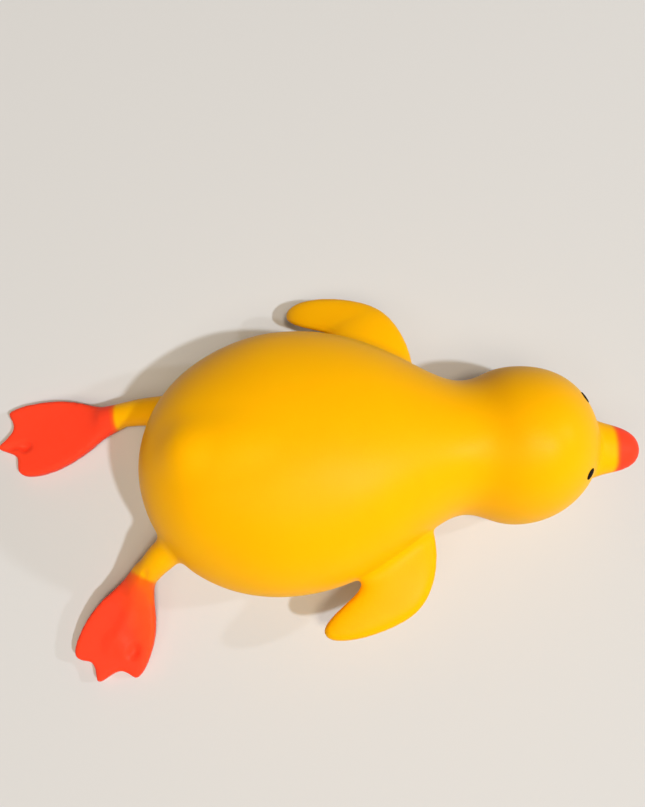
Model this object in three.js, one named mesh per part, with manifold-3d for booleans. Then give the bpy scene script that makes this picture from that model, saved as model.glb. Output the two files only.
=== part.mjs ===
// Soft squeeze duck, moulded in one piece, lying on its belly with wings and feet spread.
// Millimetres. +X points to the bill, +Y to the duck's left, +Z up.
// The origin is the middle of the flat that the belly rests on, under the widest section.
import * as THREE from 'three';
import { mergeVertices } from 'three/addons/utils/BufferGeometryUtils.js';
import Module from 'manifold-3d';

// Body, neck and head: lengths along X, full widths, heights above the table
const RUMP_LENGTH = 59.5;        // widest section back to the rump
const BODY_WIDTH = 102.5;
const BODY_HEIGHT = 67;
const BODY_EQUATOR = 29;         // height of the body's widest line
const BACK_PEAK = 12;            // highest point of the back, forward of the widest section
const BELLY_PRESS = 6;           // depth of belly that its weight presses flat
const NECK_REACH = 67;           // widest section forward to the narrowest neck
const NECK_WIDTH = 53;
const NECK_HEIGHT = 57;
const NECK_CLEARANCE = 5;        // gap under the throat
const HEAD_REACH = 86;           // widest section forward to the middle of the head
const HEAD_WIDTH = 61.2;
const HEAD_HEIGHT = 61;
const HEAD_EQUATOR = 26;
const FACE_LENGTH = 32.5;        // middle of the head forward to the face
const CHIN_PRESS = 2.5;          // depth of chin that its weight presses flat
const HEAD_TURN = -5;            // degrees, the head looks a little to the right

// Bill: a blunt cone, wider than it is high
const BILL_LENGTH = 17.3;        // from the face to the tip
const BILL_WIDTH = 27;
const BILL_HEIGHT = 19;
const BILL_LEVEL = 26;           // height of the bill's axis
const BILL_TIP_WIDTH = 13;
const BILL_ROOT = 9;             // how deep the cone is sunk into the head

// Tail: a blunt hump on the rump
const TAIL_INSET = 19.5;         // middle of the hump, forward of the rump
const TAIL_DROP = 21.5;          // middle of the hump, below the top of the back
const TAIL_LENGTH = 28;
const TAIL_WIDTH = 26;
const TAIL_HEIGHT = 20;

// Wings: flippers swept back from the shoulders, thin at the edges
const WING_THICKNESS = 10;
const WING_ROOT_LEVEL = 29;
const WING_SINK = 14;            // how far the root runs into the body
const SHOULDER_REACH = 51;       // front of the wing root, forward of the widest section
const ARMPIT_REACH = 33;         // rear of the wing root, forward of the widest section
const WING_TIP_ROUND = 6;        // handle that rounds the tip
const WING_TRAIL = 20;           // how far the trailing edge runs straight out of the armpit
const LEFT_WING = { tipReach: -1, tipSpan: 16, tipLevel: 10, bow: 10 };
const RIGHT_WING = { tipReach: 7, tipSpan: 13, tipLevel: 25, bow: 14 };

// Legs and webbed feet, each foot with three toes
const HIP_INSET = 19;            // hip forward of the rump
const HIP_SPREAD = 42;           // from hip to hip
const HIP_LEVEL = 22;
const LEG_ROOT_DIAMETER = 15;
const ANKLE_DIAMETER = 11;
const FOOT_LENGTH = 52.2;        // ankle to the tip of the middle toe
const FOOT_WIDTH = 30;
const FOOT_THICKNESS = 6;
const FOOT_EDGE = 2;             // radius of the rounded edge
const TOE_LENGTH = 7;            // middle toe, past the notches beside it
const MIDDLE_TOE_WIDTH = 11;
// heading and toes are degrees from +X, arch is the share of its length that a foot's bend takes up
const LEFT_LEG = { reach: 33.5, heading: 168, ankleLevel: 10, toes: 188.6, arch: 0 };
const RIGHT_LEG = { reach: 26.3, heading: 217, ankleLevel: 15, toes: 242.6, arch: 0.11 };

// Fineness of the facets
const RING_STEPS = 44;
const LENGTH_STEPS = 40;
const SMALL_RING_STEPS = 16;
const CURVE_STEPS = 6;
const WING_STEPS = 16;
const EDGE_STEPS = 3;

// Handles of the curves: a quarter ellipse, the long shoulder, the short neck, the nape, the web
const ROUND = 0.5523;
const SHOULDER_EASE = 0.57;
const NECK_EASE = 0.2;
const NAPE_EASE = 0.5;
const WEB_EASE = 1 / 3;
const FOOT_SLOPE = 1.5;          // power of the slope from ankle to toes, 1 is straight
const WING_THINNING = 4;         // power by which the wing thins towards its tip

const SAME_POINT = 1e-3;         // vertices closer than this are one

const YELLOW = new THREE.MeshStandardMaterial({ color: '#feba0c', roughness: 0.5, metalness: 0 });

const { clamp, lerp, degToRad, smoothstep } = THREE.MathUtils;
const at = (x, y) => new THREE.Vector2(x, y);
const wasm = await Module();
wasm.setup();

// A closed three.js geometry as a solid that can be joined and cut
function solid(geometry) {
  geometry.deleteAttribute('normal');
  geometry.deleteAttribute('uv');
  const merged = mergeVertices(geometry, SAME_POINT);
  const corners = merged.index.array;
  const kept = [];
  for (let i = 0; i < corners.length; i += 3) {
    const [a, b, c] = corners.slice(i, i + 3);
    if (a !== b && b !== c && c !== a) {
      kept.push(a, b, c);
    }
  }
  return new wasm.Manifold(new wasm.Mesh({
    numProp: 3,
    vertProperties: new Float32Array(merged.attributes.position.array),
    triVerts: new Uint32Array(kept),
  }));
}

// Moves every vertex of a geometry to where the rule puts it
function reshape(geometry, rule) {
  const place = geometry.attributes.position;
  for (let i = 0; i < place.count; i += 1) {
    const moved = rule(place.getX(i), place.getY(i), place.getZ(i));
    place.setXYZ(i, ...moved);
  }
}

// One long contour of the duck from rump to face: a round rump, the shoulder's slope down
// to the neck, the nape's rise to the head and a round face
function contour(rump, body, neck, head, face) {
  const path = new THREE.Path();
  path.moveTo(rump.x, rump.y);
  path.bezierCurveTo(
    rump.x, lerp(rump.y, body.y, ROUND),
    lerp(body.x, rump.x, ROUND), body.y,
    body.x, body.y,
  );
  path.bezierCurveTo(
    lerp(body.x, neck.x, SHOULDER_EASE), body.y,
    lerp(neck.x, body.x, NECK_EASE), neck.y,
    neck.x, neck.y,
  );
  path.bezierCurveTo(
    lerp(neck.x, head.x, NAPE_EASE), neck.y,
    lerp(head.x, neck.x, NAPE_EASE), head.y,
    head.x, head.y,
  );
  path.bezierCurveTo(
    lerp(head.x, face.x, ROUND), head.y,
    face.x, lerp(face.y, head.y, ROUND),
    face.x, face.y,
  );
  return path;
}

// The height of a contour at any place along X
function heightAlong(path) {
  const points = path.getPoints(LENGTH_STEPS);
  return (x) => {
    const next = clamp(points.findIndex((point) => point.x >= x), 1, points.length - 1);
    const a = points[next - 1];
    const b = points[next];
    return lerp(a.y, b.y, (x - a.x) / (b.x - a.x));
  };
}

const FACE_REACH = HEAD_REACH + FACE_LENGTH;
const PLAN = contour(
  at(-RUMP_LENGTH, 0),
  at(0, BODY_WIDTH / 2),
  at(NECK_REACH, NECK_WIDTH / 2),
  at(HEAD_REACH, HEAD_WIDTH / 2),
  at(FACE_REACH, 0),
);
const CROWN = contour(
  at(-RUMP_LENGTH, BODY_EQUATOR),
  at(BACK_PEAK, BODY_HEIGHT),
  at(NECK_REACH, NECK_HEIGHT),
  at(HEAD_REACH, HEAD_HEIGHT),
  at(FACE_REACH, HEAD_EQUATOR),
);
const KEEL = contour(
  at(-RUMP_LENGTH, BODY_EQUATOR),
  at(0, -BELLY_PRESS),
  at(NECK_REACH, NECK_CLEARANCE),
  at(HEAD_REACH, -CHIN_PRESS),
  at(FACE_REACH, HEAD_EQUATOR),
);

// Body, neck and head: the plan outline turned about X, then raised to the crown contour
// above its widest line and dropped to the keel contour below it
function torso() {
  const profile = PLAN.getSpacedPoints(LENGTH_STEPS).map((point) => at(point.y, point.x));
  const form = new THREE.LatheGeometry(profile, RING_STEPS);
  const crown = heightAlong(CROWN);
  const keel = heightAlong(KEEL);
  reshape(form, (up, x, across) => {
    const rise = up / Math.max(Math.hypot(across, up), Number.EPSILON);
    const equator = lerp(BODY_EQUATOR, HEAD_EQUATOR, smoothstep(x, 0, HEAD_REACH));
    const limit = rise > 0 ? crown(x) : keel(x);
    return [x, across, lerp(equator, limit, Math.abs(rise))];
  });
  return solid(form);
}

// Bill: a turned blunt cone, flattened, on the line that the head looks along
function bill() {
  const tip = BILL_TIP_WIDTH / 2;
  const half = BILL_WIDTH / 2;
  const profile = new THREE.Path();
  profile.moveTo(0, -BILL_ROOT);
  profile.lineTo(half, -BILL_ROOT);
  profile.bezierCurveTo(half, 0, tip, BILL_LENGTH / 2, tip, BILL_LENGTH - tip);
  profile.quadraticCurveTo(tip, BILL_LENGTH, 0, BILL_LENGTH);
  const form = new THREE.LatheGeometry(profile.getPoints(CURVE_STEPS), SMALL_RING_STEPS);
  form.rotateZ(-Math.PI / 2);
  form.scale(1, 1, BILL_HEIGHT / BILL_WIDTH);
  form.translate(FACE_LENGTH, 0, BILL_LEVEL);
  form.rotateZ(degToRad(HEAD_TURN));
  form.translate(HEAD_REACH, 0, 0);
  return solid(form);
}

// Tail: a smooth hump, half sunk in the rump
function tail() {
  const form = new THREE.SphereGeometry(0.5, SMALL_RING_STEPS, SMALL_RING_STEPS / 2);
  form.scale(TAIL_LENGTH, TAIL_WIDTH, TAIL_HEIGHT);
  form.translate(TAIL_INSET - RUMP_LENGTH, 0, BODY_HEIGHT - TAIL_DROP);
  return solid(form);
}

// Wing: oval sections from the bowed leading edge to the trailing edge, which meet at the tip
function wing(side, pose) {
  const bodySide = heightAlong(PLAN);
  const shoulder = at(SHOULDER_REACH, bodySide(SHOULDER_REACH) - WING_SINK);
  const armpit = at(ARMPIT_REACH, bodySide(ARMPIT_REACH) - WING_SINK);
  const tip = at(pose.tipReach, BODY_WIDTH / 2 + pose.tipSpan);
  const leading = new THREE.CubicBezierCurve(
    shoulder,
    at(shoulder.x + pose.bow, tip.y),
    at(tip.x, tip.y + 2 * WING_TIP_ROUND),
    tip,
  );
  const trailing = new THREE.CubicBezierCurve(
    armpit,
    at(armpit.x, armpit.y + WING_TRAIL),
    at(tip.x, tip.y - WING_TIP_ROUND),
    tip,
  );
  const form = new THREE.CylinderGeometry(1, 1, 1, SMALL_RING_STEPS, WING_STEPS);
  reshape(form, (up, along, across) => {
    const share = along + 0.5;
    const front = leading.getPoint(share);
    const rear = trailing.getPoint(share);
    const level = lerp(WING_ROOT_LEVEL, pose.tipLevel, share);
    const half = (WING_THICKNESS / 2) * Math.sqrt(1 - share ** WING_THINNING);
    const spot = rear.lerp(front, (1 - side * across) / 2);
    return [spot.x, side * spot.y, level + up * half];
  });
  return solid(form);
}

const hip = (side) => new THREE.Vector3(HIP_INSET - RUMP_LENGTH, (side * HIP_SPREAD) / 2, HIP_LEVEL);

function ankle(side, pose) {
  const turn = degToRad(pose.heading);
  const stride = new THREE.Vector3(Math.cos(turn), Math.sin(turn), 0).multiplyScalar(pose.reach);
  return hip(side).add(stride).setZ(pose.ankleLevel);
}

// Leg: a tapered round bar from inside the body to a round ankle
function leg(side, pose) {
  const reach = ankle(side, pose).sub(hip(side));
  const length = reach.length();
  const profile = new THREE.Path();
  profile.moveTo(0, 0);
  profile.lineTo(LEG_ROOT_DIAMETER / 2, 0);
  profile.lineTo(ANKLE_DIAMETER / 2, length);
  profile.absarc(0, length, ANKLE_DIAMETER / 2, 0, Math.PI / 2);
  const form = new THREE.LatheGeometry(profile.getPoints(CURVE_STEPS), SMALL_RING_STEPS);
  const turn = new THREE.Quaternion();
  turn.setFromUnitVectors(new THREE.Vector3(0, 1, 0), reach.normalize());
  form.applyQuaternion(turn);
  form.translate(...hip(side));
  return solid(form);
}

// Foot: a web that widens from the ankle to three round toes and slopes down to the table
function foot(side, pose) {
  const heel = ANKLE_DIAMETER / 2;
  const half = FOOT_WIDTH / 2;
  const toe = MIDDLE_TOE_WIDTH / 2;
  const notch = FOOT_LENGTH - TOE_LENGTH;
  const web = notch * WEB_EASE;
  const sideToe = notch + FOOT_EDGE;
  const sideToeTip = (half + toe) / 2;
  const outline = new THREE.Shape();
  outline.moveTo(-heel, -heel);
  outline.lineTo(0, -heel);
  outline.bezierCurveTo(web, -heel, web, -half, sideToe - half / 2, -half);
  outline.quadraticCurveTo(sideToe, -half, sideToe, -sideToeTip);
  outline.quadraticCurveTo(notch, -toe, sideToe, -toe);
  outline.quadraticCurveTo(FOOT_LENGTH, -toe / 2, FOOT_LENGTH, 0);
  outline.quadraticCurveTo(FOOT_LENGTH, toe / 2, sideToe, toe);
  outline.quadraticCurveTo(notch, toe, sideToe, sideToeTip);
  outline.quadraticCurveTo(sideToe, half, sideToe - half / 2, half);
  outline.bezierCurveTo(web, half, web, heel, 0, heel);
  outline.lineTo(-heel, heel);
  const form = new THREE.ExtrudeGeometry(outline, {
    depth: FOOT_THICKNESS - 2 * FOOT_EDGE,
    bevelThickness: FOOT_EDGE,
    bevelSize: FOOT_EDGE,
    bevelOffset: -FOOT_EDGE,
    bevelSegments: EDGE_STEPS,
    curveSegments: CURVE_STEPS,
  });
  const lift = pose.ankleLevel - FOOT_THICKNESS / 2;
  const shorten = (1 - pose.arch) * Math.sqrt(1 - (lift / FOOT_LENGTH) ** 2);
  reshape(form, (along, across, up) => {
    const slope = (1 - clamp(along / FOOT_LENGTH, 0, 1)) ** FOOT_SLOPE;
    return [along * shorten, across, up + FOOT_EDGE + lift * slope];
  });
  const place = ankle(side, pose);
  form.rotateZ(degToRad(pose.toes));
  form.translate(place.x, place.y, 0);
  return solid(form);
}

// Everything above the table: the pressed belly and chin come out flat
function aboveTable() {
  const room = 2 * (FACE_REACH + BILL_LENGTH + RUMP_LENGTH + FOOT_LENGTH);
  const block = new THREE.BoxGeometry(room, room, room);
  block.translate(0, 0, room / 2);
  return solid(block);
}

const skin = torso()
  .add(bill())
  .add(tail())
  .add(wing(1, LEFT_WING))
  .add(wing(-1, RIGHT_WING))
  .add(leg(1, LEFT_LEG))
  .add(leg(-1, RIGHT_LEG))
  .add(foot(1, LEFT_LEG))
  .add(foot(-1, RIGHT_LEG))
  .intersect(aboveTable())
  .getMesh();

const geometry = new THREE.BufferGeometry();
geometry.setAttribute('position', new THREE.BufferAttribute(skin.vertProperties, skin.numProp));
geometry.setIndex(new THREE.BufferAttribute(skin.triVerts, 1));
geometry.computeVertexNormals();

const mesh = new THREE.Mesh(geometry, YELLOW);
mesh.name = 'duck';

const duck = new THREE.Group();
duck.add(mesh);

export default duck;
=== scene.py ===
from math import cos, pi, radians, sin

import bmesh
import bpy
from mathutils import Matrix, Vector
from mathutils.bvhtree import BVHTree
from mathutils.geometry import interpolate_bezier


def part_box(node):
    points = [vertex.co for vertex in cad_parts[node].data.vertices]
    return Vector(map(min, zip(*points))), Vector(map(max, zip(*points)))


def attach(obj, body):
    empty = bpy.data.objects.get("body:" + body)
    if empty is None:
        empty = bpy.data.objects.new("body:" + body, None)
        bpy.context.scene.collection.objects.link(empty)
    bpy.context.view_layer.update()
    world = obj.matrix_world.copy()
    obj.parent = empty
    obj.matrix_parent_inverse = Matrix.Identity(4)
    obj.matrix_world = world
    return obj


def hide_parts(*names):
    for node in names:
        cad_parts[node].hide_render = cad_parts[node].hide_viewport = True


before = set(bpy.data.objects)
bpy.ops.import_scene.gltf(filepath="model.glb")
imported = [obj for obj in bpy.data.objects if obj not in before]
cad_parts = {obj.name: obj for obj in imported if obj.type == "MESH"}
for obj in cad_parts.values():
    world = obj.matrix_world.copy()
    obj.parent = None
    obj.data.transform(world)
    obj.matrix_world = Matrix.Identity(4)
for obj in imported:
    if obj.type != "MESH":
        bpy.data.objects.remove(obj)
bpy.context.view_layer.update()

# Body, neck and head: the plump trunk, a soft elastomer skin round a sealed filling.
# It is cast in one with all the forms below, and its weight presses belly and chin flat.
# Sizes are millimetres of the real duck, and mm is one of them in the frame.
DUCK_LENGTH = 260.03
low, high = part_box("duck")
mm = (high[0] - low[0]) / DUCK_LENGTH

RUMP = -59.5
FACE = 118.5
BODY_LEVEL = 29
HEAD_LEVEL = 26
HEAD_MIDDLE = 86
LEFT_LINE = [
    (RUMP, 0), (RUMP, 29.6), (-34.5, 51.6),
    (-1, 51.6), (37, 51.6), (53, 26.9),
    (67, 26.9), (76, 26.9), (77, 31),
    (87, 31), (106.5, 31), (FACE, 19.5), (FACE, 0),
]
RIGHT_LINE = [
    (RUMP, 0), (RUMP, 29.2), (-35.5, 51),
    (-4, 51), (33, 51), (50, 25.4),
    (64, 25.4), (72, 25.4), (75, 30.6),
    (86, 30.6), (103.9, 30.6), (FACE, 16.9), (FACE, 0),
]
BACK_LINE = [
    (RUMP, BODY_LEVEL), (RUMP, 44), (-46, 57),
    (-37.5, 60.6), (-29, 64.2), (-14, 67),
    (9, 67), (36, 67), (50, 57.5),
    (67, 57), (76, 56.8), (79, 61),
    (89, 61), (105, 61), (FACE, 46), (FACE, HEAD_LEVEL),
]
BELLY_LINE = [
    (RUMP, BODY_LEVEL), (RUMP, 9.7), (-32.9, -6),
    (0, -6), (38.2, -6), (53.6, 5),
    (67, 5), (76.5, 5), (76.5, -2.5),
    (86, -2.5), (103.9, -2.5), (FACE, 10.3), (FACE, HEAD_LEVEL),
]
REAR_START = -4
REAR_FULL = -40
REAR_PEAK = 0.28
CURVE_STEPS = 32
TRUNK_RINGS = 150
TRUNK_CORNERS = 128


def flow(line, steps=CURVE_STEPS):
    """The points of a smooth line: a knot, then two handles and a knot for each span."""
    points = []
    for start in range(0, len(line) - 1, 3):
        span = [Vector((*place, 0)) for place in line[start:start + 4]]
        drawn = interpolate_bezier(*span, steps + 1)
        points += drawn if not points else drawn[1:]
    return points


def height_at(points, x):
    """The height of a line of points at a place along X."""
    for a, b in zip(points, points[1:]):
        if b.x >= x:
            share = (x - a.x) / max(b.x - a.x, 1e-9)
            return a.y + (b.y - a.y) * min(max(share, 0), 1)
    return points[-1].y


def ring(bm, corners, place):
    """One closed ring of edges, its corners put where place says for each turn round it."""
    circle = bmesh.ops.create_circle(bm, segments=corners, radius=1)["verts"]
    for corner in circle:
        corner.co = place(corner.co.x, corner.co.y) * mm
    return list(dict.fromkeys(edge for corner in circle for edge in corner.link_edges))


def skin_over(bm, rings):
    """Bridges a row of rings into one closed form."""
    for near, far in zip(rings, rings[1:]):
        bmesh.ops.bridge_loops(bm, edges=near + far)
    bmesh.ops.edgeloop_fill(bm, edges=rings[0])
    bmesh.ops.edgeloop_fill(bm, edges=rings[-1])
    bmesh.ops.recalc_face_normals(bm, faces=bm.faces)


def swell(verts, middle, reach, push, turn=0):
    """Moves the skin near a point by push, fading out at reach along, across and up."""
    spot = Vector(middle) * mm
    facing = Matrix.Rotation(radians(-turn), 3, "Z")
    for vert in verts:
        away = facing @ (vert.co - spot)
        fade = 1 - sum((away[i] / (reach[i] * mm)) ** 2 for i in range(3))
        if fade > 0:
            vert.co += Vector(push) * mm * fade * fade


left_points = flow(LEFT_LINE)
right_points = flow(RIGHT_LINE)
back_points = flow(BACK_LINE)
belly_points = flow(BELLY_LINE)


def trunk_section(x):
    """Where the trunk's skin lies round one section: half ovals, a little peaked on top at the rear."""
    left = height_at(left_points, x)
    right = height_at(right_points, x)
    crown = height_at(back_points, x)
    keel = height_at(belly_points, x)
    ease = min(max(x / HEAD_MIDDLE, 0), 1)
    level = BODY_LEVEL + (HEAD_LEVEL - BODY_LEVEL) * ease * ease * (3 - 2 * ease)
    rear = min(max((x - REAR_START) / (REAR_FULL - REAR_START), 0), 1)
    peak = 1 + REAR_PEAK * rear * rear * (3 - 2 * rear)

    def place(across, up):
        half = left if across > 0 else right
        rise = (crown - level) * abs(up) ** peak if up > 0 else (keel - level) * abs(up)
        return Vector((x, half * across, level + rise))

    return place


trunk = bmesh.new()
trunk_rings = []
for step in range(1, TRUNK_RINGS):
    x = (RUMP + FACE) / 2 - (FACE - RUMP) / 2 * cos(pi * step / TRUNK_RINGS)
    trunk_rings.append(ring(trunk, TRUNK_CORNERS, trunk_section(x)))
skin_over(trunk, trunk_rings)

# Tail: a soft blunt point on top of the rump, where a low ridge along the back ends.
# It is cast with the body and filled like it.
RIDGE_SPOT = (-27, 1.5, 64)
RIDGE_REACH = (28, 14, 20)
RIDGE_PUSH = (0, 0, 1.5)
TAIL_SPOT = (-39, 2, 59)
TAIL_REACH = (15, 14, 16)
TAIL_PUSH = (-0.5, 0, 1.9)
swell(trunk.verts, RIDGE_SPOT, RIDGE_REACH, RIDGE_PUSH)
swell(trunk.verts, TAIL_SPOT, TAIL_REACH, TAIL_PUSH)

# Bill: a blunt flattened cone at the front of the face, solid soft elastomer.
# It points where the head looks, a little to the duck's right.
HEAD_TURN = radians(-5.8)
BILL_LEVEL = 26
BILL_ROOT = 20
BILL_TIP = 49.8
BILL_SIDE = [
    (BILL_ROOT, 14.8), (26, 14.3), (30, 12.5),
    (33.7, 11), (38.5, 9.1), (BILL_TIP, 8.8), (BILL_TIP, 0),
]
BILL_HALF_HEIGHT = [
    (BILL_ROOT, 11.5), (26, 11), (30, 9.6),
    (33.7, 8.3), (39, 6.6), (BILL_TIP, 5.8), (BILL_TIP, 0),
]
BILL_RINGS = 60
BILL_CORNERS = 48

bill_side = flow(BILL_SIDE)
bill_height = flow(BILL_HALF_HEIGHT)
bill_axis = Vector((cos(HEAD_TURN), sin(HEAD_TURN), 0))
bill_across = Vector((-sin(HEAD_TURN), cos(HEAD_TURN), 0))
up_axis = Vector((0, 0, 1))


def bill_section(along):
    """Where the bill's skin lies round one section."""
    half = height_at(bill_side, along)
    rise = height_at(bill_height, along)
    middle = Vector((HEAD_MIDDLE, 0, BILL_LEVEL)) + bill_axis * along
    return lambda across, up: middle + bill_across * half * across + up_axis * rise * up


bill = bmesh.new()
bill_rings = []
for step in range(BILL_RINGS):
    along = BILL_ROOT + (BILL_TIP - BILL_ROOT) * sin(pi / 2 * step / BILL_RINGS)
    bill_rings.append(ring(bill, BILL_CORNERS, bill_section(along)))
skin_over(bill, bill_rings)

# Wings: two flat flippers with round edges, cast with the body and swept back from the shoulders.
# The left one droops to the table, the right one stands off it.
WING_ROOT_LEVEL = 29
WING_THICKNESS = 9
WING_TIP_THICKNESS = 6
WING_FULLNESS = 0.75
WING_DROOP_CURVE = 1.5
WING_TIP_CURVE = 8
WING_STEPS = 24
WING_CORNERS = 48
LEFT_WING = {
    "lead": [(50, 25), (52, 42), (46, 57.2), (38.5, 63.2), (29.5, 70.9), (3, 75.9), (0.3, 67.4)],
    "trail": [(22, 34), (22, 46), (20, 51), (17, 54), (12, 57.5), (0, 61), (0.3, 67)],
    "tip_level": 10,
}
RIGHT_WING = {
    "lead": [(50, -25), (54.3, -41.5), (49, -54.9), (41.4, -60.5), (33, -66.7), (7.5, -72.3), (6.9, -64.6)],
    "trail": [(24, -34), (23.5, -44), (22.5, -49), (20.5, -51), (16.5, -55), (7, -60.3), (6.9, -64.6)],
    "tip_level": 25,
}


def fuller(share, fullness):
    """Fills out a round section towards a flat slab with round edges."""
    return abs(share) ** fullness * (1 if share > 0 else -1)


def wing_form(wing):
    """One wing: slab sections from its leading edge to its trailing edge, from the root to the tip."""
    bm = bmesh.new()
    lead = flow(wing["lead"], WING_STEPS)
    trail = flow(wing["trail"], WING_STEPS)
    rings = []
    for step, (front, rear) in enumerate(zip(lead[:-1], trail[:-1])):
        share = step / (len(lead) - 1)
        level = WING_ROOT_LEVEL + (wing["tip_level"] - WING_ROOT_LEVEL) * share ** WING_DROOP_CURVE
        thick = WING_THICKNESS + (WING_TIP_THICKNESS - WING_THICKNESS) * share
        half = thick / 2 * (1 - share ** WING_TIP_CURVE) ** 0.5
        middle = (front + rear) / 2 + up_axis * level
        reach = (front - rear) / 2

        def place(across, up, middle=middle, reach=reach, half=half):
            flat = reach * fuller(across, WING_FULLNESS)
            return middle + flat + up_axis * half * fuller(up, WING_FULLNESS)

        rings.append(ring(bm, WING_CORNERS, place))
    skin_over(bm, rings)
    return bm


left_wing = wing_form(LEFT_WING)
right_wing = wing_form(RIGHT_WING)

# Legs: short round bars that flare where they leave the body, cast with it.
# Each runs down and out from the hip to the ankle, where its foot begins.
LEG_CORNERS = 32
LEG_STEPS = 20
LEFT_LEG = {
    "line": [(-40, 24.5, 23), (-52, 27, 19.5), (-63, 28.9, 14), (-80, 27.5, 9)],
    "radius": [(0, 6.8), (0.4, 6.2), (0.5, 5.6), (1, 5.3)],
}
RIGHT_LEG = {
    "line": [(-36.2, -22.1, 31), (-49.3, -30.5, 27.5), (-58.5, -33.2, 19.5), (-66.3, -45.8, 11)],
    "radius": [(0, 7.4), (0.4, 6.2), (0.55, 5.6), (1, 5)],
}


def leg_form(leg):
    """One leg: round sections along a bent line."""
    bm = bmesh.new()
    line = [Vector(point) for point in leg["line"]]
    middles = interpolate_bezier(*line, LEG_STEPS)
    radii = flow(leg["radius"], LEG_STEPS)
    rings = []
    for step, middle in enumerate(middles):
        ahead = middles[min(step + 1, LEG_STEPS - 1)] - middles[max(step - 1, 0)]
        side = up_axis.cross(ahead).normalized()
        over = ahead.cross(side).normalized()
        radius = height_at(radii, step / (LEG_STEPS - 1))

        def place(across, up, middle=middle, side=side, over=over, radius=radius):
            return middle + (side * across + over * up) * radius

        rings.append(ring(bm, LEG_CORNERS, place))
    skin_over(bm, rings)
    return bm


left_leg = leg_form(LEFT_LEG)
right_leg = leg_form(RIGHT_LEG)

# Feet: thin webs that widen to three toes, the middle one longest, sloping down to the table.
# They are cast with the legs and airbrushed red.
HEEL = [(-5, 0), (-5, 2.7), (-2.7, 5), (0, 5), (8.5, 6.4), (17, 13.6)]
OUTER_TOES = [
    (30, 15), (37, 15.7), (44, 15.8),
    (45.9, 13.6), (45.2, 11.5), (44.2, 9.6),
    (44.3, 7.4), (44.4, 4.6), (50.3, 1.7), (52.6, 0),
]
INNER_TOES = [
    (30, 15.2), (37, 15.9), (43.8, 15.6),
    (44.8, 11.8), (45.1, 9.8), (44.4, 8),
    (44.4, 6.4), (44.4, 4.4), (50.3, 1.8), (52.6, 0),
]
FOOT_STEPS = 10
FOOT_THICKNESS = 5.5
FOOT_EDGE = 1.6
FOOT_CUT = 2
ANKLE_FADE = 20
ANKLE_SWELL = 0.9
FOOT_FALL_CURVE = 1.4
FOOT_EDGE_STEPS = 4
LEFT_FOOT = {
    "ankle": (-73, 27.4), "toes": 188.6, "stretch": 1, "width": 1,
    "skew": 0, "lift": 7, "outer": -1,
}
RIGHT_FOOT = {
    "ankle": (-61.5, -36.9), "toes": 242.6, "stretch": 0.875, "width": 0.94,
    "skew": 0.17, "lift": 12, "outer": 1,
}


def foot_spot(foot, along, across, up):
    """A place on a foot, measured from its ankle along and across its toes."""
    turn = radians(foot["toes"])
    reach = Vector((cos(turn), sin(turn), 0)) * along * foot["stretch"]
    side = Vector((-sin(turn), cos(turn), 0)) * across * foot["width"]
    return Vector((*foot["ankle"], up)) + reach + side


def foot_form(foot):
    """One foot: the web's outline, raised to a slab with round edges, thick and high at the ankle."""
    bm = bmesh.new()
    outer = flow(HEEL + OUTER_TOES, FOOT_STEPS)
    inner = flow(HEEL + INNER_TOES, FOOT_STEPS)
    outline = outer + [Vector((point.x, -point.y, 0)) for point in reversed(inner[1:-1])]
    corners = bmesh.ops.create_circle(bm, cap_ends=True, segments=len(outline), radius=1)["verts"]
    for corner, point in zip(corners, outline):
        corner.co = point * mm
    raised = bmesh.ops.extrude_face_region(bm, geom=bm.faces[:])["geom"]
    top = [part for part in raised if isinstance(part, bmesh.types.BMVert)]
    bmesh.ops.translate(bm, verts=top, vec=up_axis * FOOT_THICKNESS * mm)
    bmesh.ops.recalc_face_normals(bm, faces=bm.faces)
    rims = [edge for edge in bm.edges if edge.verts[0].co.z == edge.verts[1].co.z]
    bmesh.ops.bevel(
        bm, geom=rims, offset=FOOT_EDGE * mm, affect="EDGES", segments=FOOT_EDGE_STEPS,
        profile=0.5, material=-1, clamp_overlap=True,
    )
    length = OUTER_TOES[-1][0]
    for cut in range(int(length / FOOT_CUT)):
        bmesh.ops.bisect_plane(
            bm, geom=bm.verts[:] + bm.edges[:] + bm.faces[:],
            plane_co=Vector((cut * FOOT_CUT * mm, 0, 0)), plane_no=Vector((1, 0, 0)),
        )
    for vert in bm.verts:
        along = vert.co.x / mm
        across = vert.co.y / mm * foot["outer"]
        slope = 1 - min(max(along / length, 0), 1)
        along -= foot["skew"] * across * (1 - slope)
        near = 1 - min(max(along / ANKLE_FADE, 0), 1)
        half = FOOT_THICKNESS / 2
        above = vert.co.z / mm - half
        level = half + foot["lift"] * slope ** FOOT_FALL_CURVE + above * (1 + ANKLE_SWELL * near * near)
        vert.co = foot_spot(foot, along, across, level) * mm
    bmesh.ops.recalc_face_normals(bm, faces=bm.faces)
    return bm


left_foot = foot_form(LEFT_FOOT)
right_foot = foot_form(RIGHT_FOOT)

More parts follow.
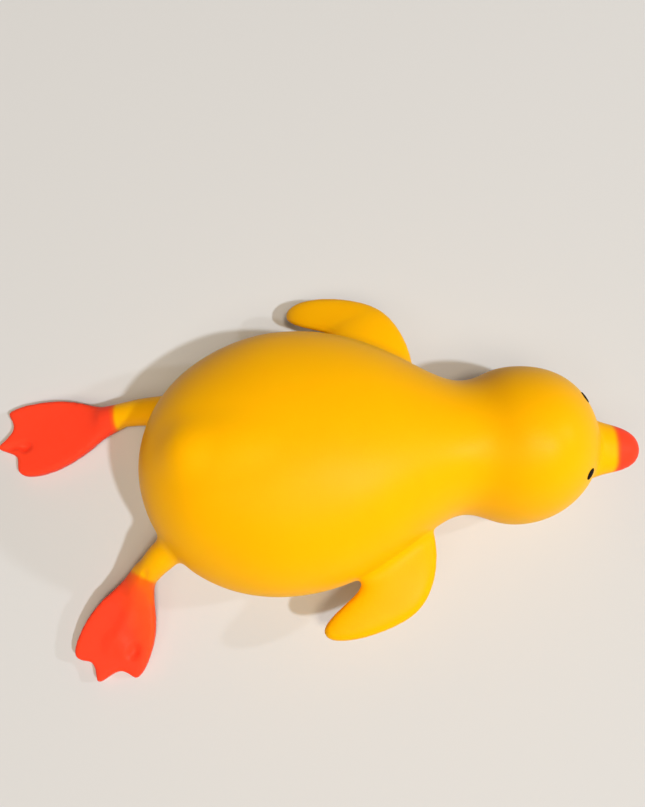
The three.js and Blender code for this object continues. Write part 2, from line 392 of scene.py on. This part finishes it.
# The cast skin: all the forms above run together, with soft fillets where they meet.
# The real one is one moulding of soft elastomer, with no seam that shows.
CAST_GRAIN = 0.9
FILLETS = [
    {"forms": (bill, trunk), "radius": 3, "rounds": 10, "facing": -1},
    {"forms": (left_wing, trunk), "radius": 2, "rounds": 4, "facing": -1},
    {"forms": (right_wing, trunk), "radius": 2, "rounds": 4, "facing": -1},
    {"forms": (left_wing, trunk), "radius": 6, "rounds": 35, "facing": 0.35},
    {"forms": (right_wing, trunk), "radius": 6, "rounds": 35, "facing": 0.35},
    {"forms": (left_leg, trunk), "radius": 4, "rounds": 17, "facing": -1},
    {"forms": (right_leg, trunk), "radius": 6, "rounds": 35, "facing": -1},
    {"forms": (left_foot, left_leg), "radius": 8, "rounds": 35, "facing": -1},
    {"forms": (right_foot, right_leg), "radius": 8, "rounds": 35, "facing": -1},
]
ALL_OVER_ROUNDS = 4
RELIEF_FACING = 0.2
# Dimples and, with a depth below zero, swellings: along, across and up a foot, reach, depth.
FOOT_RELIEF = [
    (LEFT_FOOT, 40, 2.7, 5.5, (4, 3, 6), 2),
    (LEFT_FOOT, 44.5, 1.4, 5.5, (8, 2, 6), 1.3),
    (RIGHT_FOOT, 33, 8.8, 7.5, (4.5, 3.2, 6), 1.7),
    (RIGHT_FOOT, 34, 4.6, 7.5, (6, 4, 6), -0.9),
    (RIGHT_FOOT, 33, -0.5, 7.5, (8, 5.5, 8), -0.9),
    (RIGHT_FOOT, 21, 1, 9, (14, 4.5, 8), -0.9),
    (RIGHT_FOOT, 1, 2.8, 20, (4.5, 1.9, 9), 1.3),
]


def placed(bm, name):
    """Makes a finished form an object of the scene."""
    mesh = bpy.data.meshes.new(name)
    bm.to_mesh(mesh)
    bm.free()
    made = bpy.data.objects.new(name, mesh)
    bpy.context.scene.collection.objects.link(made)
    return made


forms = [trunk, bill, left_wing, right_wing, left_leg, right_leg, left_foot, right_foot]
cast = bmesh.new()
for form in forms:
    shell = bpy.data.meshes.new("shell")
    form.to_mesh(shell)
    cast.from_mesh(shell)
    bpy.data.meshes.remove(shell)
rough_cast = placed(cast, "rough_cast")
grain = rough_cast.modifiers.new("grain", "REMESH")
grain.mode = "VOXEL"
grain.voxel_size = CAST_GRAIN * mm
graph = bpy.context.evaluated_depsgraph_get()
skin_mesh = bpy.data.meshes.new_from_object(rough_cast.evaluated_get(graph))
bpy.data.objects.remove(rough_cast)

skin = bmesh.new()
skin.from_mesh(skin_mesh)


def soften(bm, verts):
    """Eases points half way towards their neighbours."""
    bmesh.ops.smooth_vert(
        bm, verts=verts, factor=0.5, use_axis_x=True, use_axis_y=True, use_axis_z=True,
    )


def fillet(bm, forms, radius, rounds, facing):
    """Rounds the corner where two forms meet, most of all at the line itself."""
    trees = [BVHTree.FromBMesh(form) for form in forms]
    near = []
    for vert in bm.verts:
        if vert.normal.z < facing:
            continue
        gaps = [tree.find_nearest(vert.co, radius * mm)[3] for tree in trees]
        if None not in gaps:
            near.append((1 - max(gaps) / (radius * mm), vert))
    for step in range(rounds):
        soften(bm, [vert for weight, vert in near if weight > step / rounds])


skin.normal_update()
for joint in FILLETS:
    fillet(skin, **joint)
for step in range(ALL_OVER_ROUNDS):
    soften(skin, skin.verts)
skin.normal_update()
upper = [vert for vert in skin.verts if vert.normal.z > RELIEF_FACING]
for foot, along, across, up, reach, depth in FOOT_RELIEF:
    swell(upper, foot_spot(foot, along, across, up), reach, (0, 0, -depth), foot["toes"])
for vert in skin.verts:
    vert.co.z = max(vert.co.z, 0)
for face in skin.faces:
    face.smooth = True
skin_tree = BVHTree.FromBMesh(skin)
skin.to_mesh(skin_mesh)
skin.free()
for form in forms:
    form.free()

duck = bpy.data.objects.new("duck_skin", skin_mesh)
bpy.context.scene.collection.objects.link(duck)

# Skin finish: satin yellow elastomer, coloured through, a little translucent and faintly mottled.
# Red is airbrushed on the feet and the bill tip in a thin coat and a full one, with soft edges.
YELLOW = (0.99, 0.5, 0.0012, 1)
DEEP_YELLOW = (0.98, 0.465, 0.001, 1)
RED = (0.98, 0.062, 0.024, 1)
THIN_RED = (0.98, 0.15, 0.008, 1)
SPRAYED = [
    {"colour": THIN_RED, "cover": 1, "from": (-72.6, 28.5), "turn": 180, "soft": 1, "ragged": 0.8},
    {"colour": RED, "cover": 1, "from": (-74, 28.5), "turn": 182, "soft": 1.4, "ragged": 1.5},
    {"colour": THIN_RED, "cover": 0.14, "from": (-59.5, -34.6), "turn": 232, "soft": 2.5, "ragged": 3},
    {"colour": THIN_RED, "cover": 1, "from": (-61.8, -38.8), "turn": 240, "soft": 1.2, "ragged": 2.5},
    {"colour": RED, "cover": 0.7, "from": (-63.4, -42.4), "turn": 221, "soft": 4, "ragged": 4},
    {"colour": RED, "cover": 1, "from": (-65, -60), "turn": 195, "soft": 6, "ragged": 4},
    {"colour": THIN_RED, "cover": 1, "from": (124.9, -3.5), "turn": -5, "soft": 1.3, "ragged": 0.6},
    {"colour": RED, "cover": 1, "from": (126, -3.5), "turn": -5, "soft": 1.3, "ragged": 1},
]
MOTTLE_SCALE = 40
RAGGED_SCALE = 190
SHEEN_SCALE = 70
SHEEN_SMOOTH = 0.34
SHEEN_ROUGH = 0.46
PORE_SCALE = 1400
PORE_STRENGTH = 0.25
PORE_DEPTH = 0.1
SKIN_SHINE = 0.06
GLOW_SHARE = 0.25
GLOW_SPREAD = (1, 0.6, 0.2)
GLOW_REACH = 4
# Sockets of a colour mix: its share, the colours under and over, and the result.
MIX_SHARE, MIX_UNDER, MIX_OVER, MIX_RESULT = 0, 6, 7, 2


def node(tree, kind, **values):
    """A node with its settings and the values of its own inputs."""
    made = tree.nodes.new(kind)
    for name, value in values.items():
        if hasattr(made, name):
            setattr(made, name, value)
        else:
            made.inputs[name.replace("_", " ")].default_value = value
    return made


def skin_finish():
    """The satin skin with its mottling and its sprayed colour."""
    material = bpy.data.materials.new("skin")
    material.use_nodes = True
    tree = material.node_tree
    link = tree.links.new
    shader = tree.nodes["Principled BSDF"]
    spot = tree.nodes.new("ShaderNodeTexCoord").outputs["Object"]

    mottle = node(tree, "ShaderNodeTexNoise", Scale=MOTTLE_SCALE, Detail=3, Roughness=0.6)
    link(spot, mottle.inputs["Vector"])
    colour = node(tree, "ShaderNodeMix", data_type="RGBA")
    colour.inputs[MIX_UNDER].default_value = YELLOW
    colour.inputs[MIX_OVER].default_value = DEEP_YELLOW
    link(mottle.outputs["Fac"], colour.inputs[MIX_SHARE])
    painted = colour.outputs[MIX_RESULT]

    ragged = node(tree, "ShaderNodeTexNoise", Scale=RAGGED_SCALE, Detail=2)
    link(spot, ragged.inputs["Vector"])
    for spray in SPRAYED:
        turn = radians(spray["turn"])
        along = node(tree, "ShaderNodeVectorMath", operation="DOT_PRODUCT")
        along.inputs[1].default_value = (cos(turn), sin(turn), 0)
        link(spot, along.inputs[0])
        start = (spray["from"][0] * cos(turn) + spray["from"][1] * sin(turn)) * mm
        wander = node(tree, "ShaderNodeMath", operation="MULTIPLY_ADD")
        wander.inputs[1].default_value = spray["ragged"] * mm
        link(ragged.outputs["Fac"], wander.inputs[0])
        link(along.outputs["Value"], wander.inputs[2])
        start += spray["ragged"] * mm / 2
        edge = node(tree, "ShaderNodeMapRange", interpolation_type="SMOOTHSTEP")
        edge.inputs["From Min"].default_value = start - spray["soft"] * mm
        edge.inputs["From Max"].default_value = start + spray["soft"] * mm
        edge.inputs["To Max"].default_value = spray["cover"]
        link(wander.outputs["Value"], edge.inputs["Value"])
        coat = node(tree, "ShaderNodeMix", data_type="RGBA")
        coat.inputs[MIX_OVER].default_value = spray["colour"]
        link(edge.outputs["Result"], coat.inputs[MIX_SHARE])
        link(painted, coat.inputs[MIX_UNDER])
        painted = coat.outputs[MIX_RESULT]
    link(painted, shader.inputs["Base Color"])

    patches = node(tree, "ShaderNodeTexNoise", Scale=SHEEN_SCALE, Detail=4, Roughness=0.6)
    link(spot, patches.inputs["Vector"])
    sheen = node(tree, "ShaderNodeMapRange", To_Min=SHEEN_SMOOTH, To_Max=SHEEN_ROUGH)
    link(patches.outputs["Fac"], sheen.inputs["Value"])
    link(sheen.outputs["Result"], shader.inputs["Roughness"])

    grain = node(tree, "ShaderNodeTexNoise", Scale=PORE_SCALE, Detail=2)
    link(spot, grain.inputs["Vector"])
    pores = node(tree, "ShaderNodeBump", Strength=PORE_STRENGTH, Distance=PORE_DEPTH * mm)
    link(grain.outputs["Fac"], pores.inputs["Height"])
    link(pores.outputs["Normal"], shader.inputs["Normal"])

    shader.inputs["Specular IOR Level"].default_value = SKIN_SHINE
    shader.inputs["Subsurface Weight"].default_value = GLOW_SHARE
    shader.inputs["Subsurface Radius"].default_value = GLOW_SPREAD
    shader.inputs["Subsurface Scale"].default_value = GLOW_REACH * mm
    return material


duck.data.materials.append(skin_finish())
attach(duck, "root")
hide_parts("duck")

# Eyes: two round spots of black paint, thick enough to stand a little proud of the face.
# They are dabbed on the skin either side of the bill and follow most of the head's turn.
EYE_TURN = 31.1
EYE_RISE = 32.3
EYE_RADIUS = 2.4
EYE_THICKNESS = 0.35
EYE_FOLLOW = 0.65
EYE_DISTANCE = 60
EYE_BLACK = (0.01, 0.007, 0.007, 1)
EYE_THIN_BLACK = (0.015, 0.01, 0.009, 1)
EYE_DAB_SCALE = 900
EYE_SMOOTH = 0.38
EYE_ROUGH = 0.52
EYE_SHINE = 0.005


def eye_finish():
    """Black paint, a little thinner and duller in places, as it was dabbed on."""
    material = bpy.data.materials.new("eye_paint")
    material.use_nodes = True
    tree = material.node_tree
    link = tree.links.new
    shader = tree.nodes["Principled BSDF"]
    spot = tree.nodes.new("ShaderNodeTexCoord").outputs["Object"]

    dab = node(tree, "ShaderNodeTexNoise", Scale=EYE_DAB_SCALE, Detail=2)
    link(spot, dab.inputs["Vector"])
    colour = node(tree, "ShaderNodeMix", data_type="RGBA")
    colour.inputs[MIX_UNDER].default_value = EYE_BLACK
    colour.inputs[MIX_OVER].default_value = EYE_THIN_BLACK
    link(dab.outputs["Fac"], colour.inputs[MIX_SHARE])
    link(colour.outputs[MIX_RESULT], shader.inputs["Base Color"])
    gloss = node(tree, "ShaderNodeMapRange", To_Min=EYE_SMOOTH, To_Max=EYE_ROUGH)
    link(dab.outputs["Fac"], gloss.inputs["Value"])
    link(gloss.outputs["Result"], shader.inputs["Roughness"])
    shader.inputs["Specular IOR Level"].default_value = EYE_SHINE
    return material


eye_paint = eye_finish()
head_centre = Vector((HEAD_MIDDLE, 0, HEAD_LEVEL)) * mm
for name, side in (("left_eye", 1), ("right_eye", -1)):
    heading = HEAD_TURN * EYE_FOLLOW + side * radians(EYE_TURN)
    rise = radians(EYE_RISE)
    gaze = Vector((cos(rise) * cos(heading), cos(rise) * sin(heading), sin(rise)))
    spot, normal = skin_tree.ray_cast(head_centre + gaze * EYE_DISTANCE * mm, -gaze)[:2]
    bm = bmesh.new()
    bmesh.ops.create_uvsphere(bm, u_segments=32, v_segments=16, radius=EYE_RADIUS * mm)
    bmesh.ops.scale(bm, verts=bm.verts, vec=(1, 1, EYE_THICKNESS / EYE_RADIUS))
    bmesh.ops.rotate(bm, verts=bm.verts, matrix=normal.to_track_quat("Z", "Y").to_matrix())
    bmesh.ops.translate(bm, verts=bm.verts, vec=spot)
    for face in bm.faces:
        face.smooth = True
    eye = placed(bm, name)
    eye.data.materials.append(eye_paint)
    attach(eye, "root")

# Table: a plain pale top under the duck, with matt paint that takes its shadow.
# Its size is metres, wide enough to fill the view.
TABLE_COLOUR = (0.61, 0.638, 0.685, 1)
TABLE_SIZE = 6
TABLE_ROUGHNESS = 0.7
TABLE_SHINE = 0.2
bm = bmesh.new()
bmesh.ops.create_grid(bm, x_segments=1, y_segments=1, size=TABLE_SIZE / 2)
table = placed(bm, "table")
table_paint = bpy.data.materials.new("table_paint")
table_paint.use_nodes = True
table_shader = table_paint.node_tree.nodes["Principled BSDF"]
table_shader.inputs["Base Color"].default_value = TABLE_COLOUR
table_shader.inputs["Roughness"].default_value = TABLE_ROUGHNESS
table_shader.inputs["Specular IOR Level"].default_value = TABLE_SHINE
table.data.materials.append(table_paint)

# Light: plain lamps round the near side of the table, the strongest high on the right.
# Power is watts, size and reach metres, turn and rise degrees from +X and from the table.
LAMPS = [
    {"name": "main_lamp", "turn": -38, "rise": 56, "power": 127, "size": 0.24, "colour": (0.95, 0.985, 1)},
    {"name": "upper_lamp", "turn": -60, "rise": 75, "power": 106, "size": 0.8, "colour": (1, 0.82, 0.6)},
    {"name": "front_lamp", "turn": -80, "rise": 62, "power": 55, "size": 2, "colour": (1, 0.82, 0.6)},
    {"name": "side_lamp", "turn": 0, "rise": 33, "power": 41, "size": 0.24, "colour": (0.97, 0.99, 1)},
    {"name": "left_lamp", "turn": -130, "rise": 55, "power": 22, "size": 1.7, "colour": (1, 0.82, 0.6)},
]
LAMP_REACH = 5
for lamp in LAMPS:
    light = bpy.data.lights.new(lamp["name"], "AREA")
    light.shape = "DISK"
    light.size = lamp["size"]
    light.energy = lamp["power"]
    light.color = lamp["colour"]
    holder = bpy.data.objects.new(lamp["name"], light)
    turn = radians(lamp["turn"])
    rise = radians(lamp["rise"])
    towards = Vector((cos(rise) * cos(turn), cos(rise) * sin(turn), sin(rise)))
    holder.location = towards * LAMP_REACH
    holder.rotation_euler = towards.to_track_quat("Z", "Y").to_euler()
    bpy.context.scene.collection.objects.link(holder)

# Room: a faint warm light from all round, and a plain pale wall behind the table.
# Only the camera and the reflections see the wall, and the rest gets the faint light.
ROOM_LIGHT = (1, 0.85, 0.7, 1)
ROOM_STRENGTH = 0.03
WALL_COLOUR = (0.76, 0.75, 0.73, 1)
room = bpy.data.worlds.new("room")
room.use_nodes = True
room_tree = room.node_tree
room_light = room_tree.nodes["Background"]
room_light.inputs["Color"].default_value = ROOM_LIGHT
room_light.inputs["Strength"].default_value = ROOM_STRENGTH
wall = node(room_tree, "ShaderNodeBackground", Color=WALL_COLOUR, Strength=1)
ray = room_tree.nodes.new("ShaderNodeLightPath")
seen = ray.outputs["Is Camera Ray"]
for kind in ("Is Glossy Ray", "Is Transmission Ray"):
    either = node(room_tree, "ShaderNodeMath", operation="MAXIMUM")
    room_tree.links.new(seen, either.inputs[0])
    room_tree.links.new(ray.outputs[kind], either.inputs[1])
    seen = either.outputs[0]
choice = room_tree.nodes.new("ShaderNodeMixShader")
room_tree.links.new(seen, choice.inputs[0])
room_tree.links.new(room_light.outputs[0], choice.inputs[1])
room_tree.links.new(wall.outputs[0], choice.inputs[2])
room_tree.links.new(choice.outputs[0], room_tree.nodes["World Output"].inputs["Surface"])
bpy.context.scene.world = room
bpy.context.scene.view_settings.view_transform = "Standard"

# Camera: a hand-held view from above, tipped a little towards the duck's right side.
# The view's height and distance are in pixels of the picture, and their ratio sets the lens.
CAMERA_SPOT = (6.898, -57.452, 327)
CAMERA_YAW = radians(4.344)
CAMERA_TIP = radians(15)
SENSOR_HEIGHT = 36
VIEW_HEIGHT = 807
VIEW_DISTANCE = 780
NEAREST_SEEN = 0.01
view = bpy.data.cameras.new("view")
view.sensor_fit = "VERTICAL"
view.sensor_height = SENSOR_HEIGHT
view.lens = SENSOR_HEIGHT * VIEW_DISTANCE / VIEW_HEIGHT
view.clip_start = NEAREST_SEEN
camera = bpy.data.objects.new("view", view)
turned = Matrix.Rotation(-CAMERA_YAW, 4, "Z") @ Matrix.Rotation(CAMERA_TIP, 4, "X")
camera.matrix_world = Matrix.Translation(Vector(CAMERA_SPOT) * mm) @ turned
bpy.context.scene.collection.objects.link(camera)
bpy.context.scene.camera = camera
